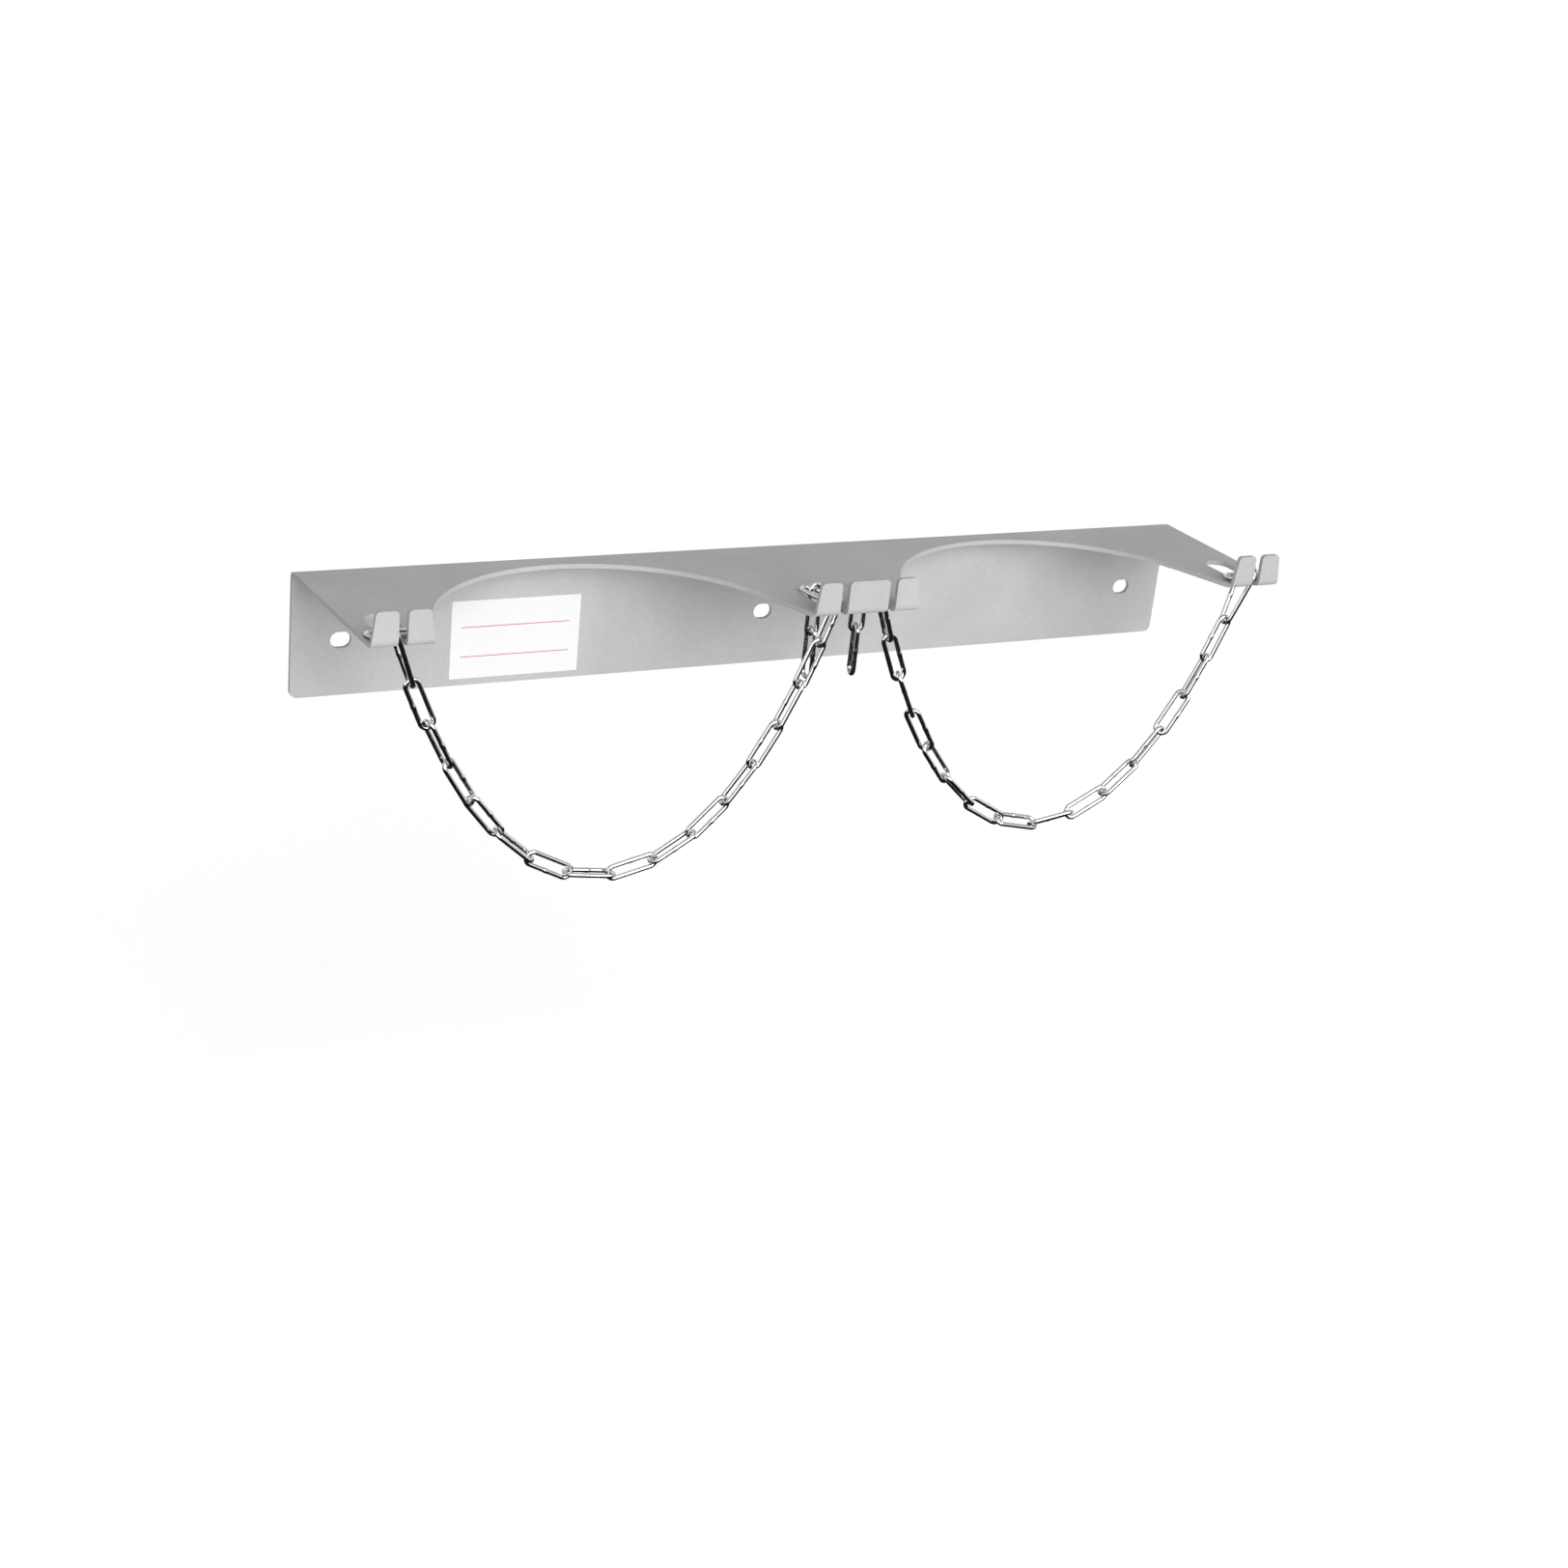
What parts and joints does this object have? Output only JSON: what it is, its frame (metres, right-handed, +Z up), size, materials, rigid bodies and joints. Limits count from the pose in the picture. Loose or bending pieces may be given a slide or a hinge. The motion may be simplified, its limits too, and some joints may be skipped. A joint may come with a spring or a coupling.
{
  "type": "gas cylinder wall bracket",
  "caption": "Folded sheet-steel wall bracket with round cylinder recesses, upturned slit lips on its prongs and hanging securing chains.",
  "frame": {"origin": "centre of the row of wall slots, on the back face of the back plate", "axes": "+X along the wall, along the row of slots; +Y into the wall; +Z up"},
  "size_m": [0.655, 0.1405, 0.192],
  "materials": {
    "powder_coat": "light grey textured powder coat",
    "zinc_chain": "bright zinc plating"
  },
  "bodies": {
    "mount": {"bracket": "powder_coat", "left_toggle_link": "zinc_chain", "left_stop_link": "zinc_chain", "left_link_01": "zinc_chain", "left_link_16": "zinc_chain", "right_toggle_link": "zinc_chain", "right_stop_link": "zinc_chain", "right_link_01": "zinc_chain", "right_link_16": "zinc_chain"},
    "left_swag": {"left_link_02": "zinc_chain", "left_link_03": "zinc_chain", "left_link_04": "zinc_chain", "left_link_05": "zinc_chain", "left_link_06": "zinc_chain", "left_link_07": "zinc_chain", "left_link_08": "zinc_chain", "left_link_09": "zinc_chain", "left_link_10": "zinc_chain", "left_link_11": "zinc_chain", "left_link_12": "zinc_chain", "left_link_13": "zinc_chain", "left_link_14": "zinc_chain", "left_link_15": "zinc_chain"},
    "left_tail_upper": {"left_tail_upper_link": "zinc_chain"},
    "left_tail_lower": {"left_tail_lower_link": "zinc_chain"},
    "right_swag": {"right_link_02": "zinc_chain", "right_link_03": "zinc_chain", "right_link_04": "zinc_chain", "right_link_05": "zinc_chain", "right_link_06": "zinc_chain", "right_link_07": "zinc_chain", "right_link_08": "zinc_chain", "right_link_09": "zinc_chain", "right_link_10": "zinc_chain", "right_link_11": "zinc_chain", "right_link_12": "zinc_chain", "right_link_13": "zinc_chain", "right_link_14": "zinc_chain", "right_link_15": "zinc_chain"},
    "right_tail_upper": {"right_tail_upper_link": "zinc_chain"},
    "right_tail_lower": {"right_tail_lower_link": "zinc_chain"}
  },
  "joints": [
    {"name": "left_swag_swing", "type": "hinge", "parent": "mount", "child": "left_swag", "pos_m": [-0.29463, -0.1277, 0.01878], "axis": [0.9998, 0, 0.0211], "range_deg": [-50, 50]},
    {"name": "left_tail_sway", "type": "hinge", "parent": "mount", "child": "left_tail_upper", "pos_m": [-0.0164, -0.10037, 0.0481], "axis": [-0.1736, 0.9848, 0], "range_deg": [-20, 20]},
    {"name": "left_tail_tip_swing", "type": "hinge", "parent": "left_tail_upper", "child": "left_tail_lower", "pos_m": [-0.0164, -0.10037, 0.0187], "axis": [0.9848, 0.1736, 0], "range_deg": [-60, 60]},
    {"name": "right_swag_swing", "type": "hinge", "parent": "mount", "child": "right_swag", "pos_m": [0.29463, -0.1277, 0.01878], "axis": [0.9998, 0, -0.0211], "range_deg": [-50, 50]},
    {"name": "right_tail_sway", "type": "hinge", "parent": "mount", "child": "right_tail_upper", "pos_m": [0.0164, -0.10037, 0.0481], "axis": [0.1736, 0.9848, 0], "range_deg": [-20, 20]},
    {"name": "right_tail_tip_swing", "type": "hinge", "parent": "right_tail_upper", "child": "right_tail_lower", "pos_m": [0.0164, -0.10037, 0.0187], "axis": [0.9848, -0.1736, 0], "range_deg": [-60, 60]}
  ]
}
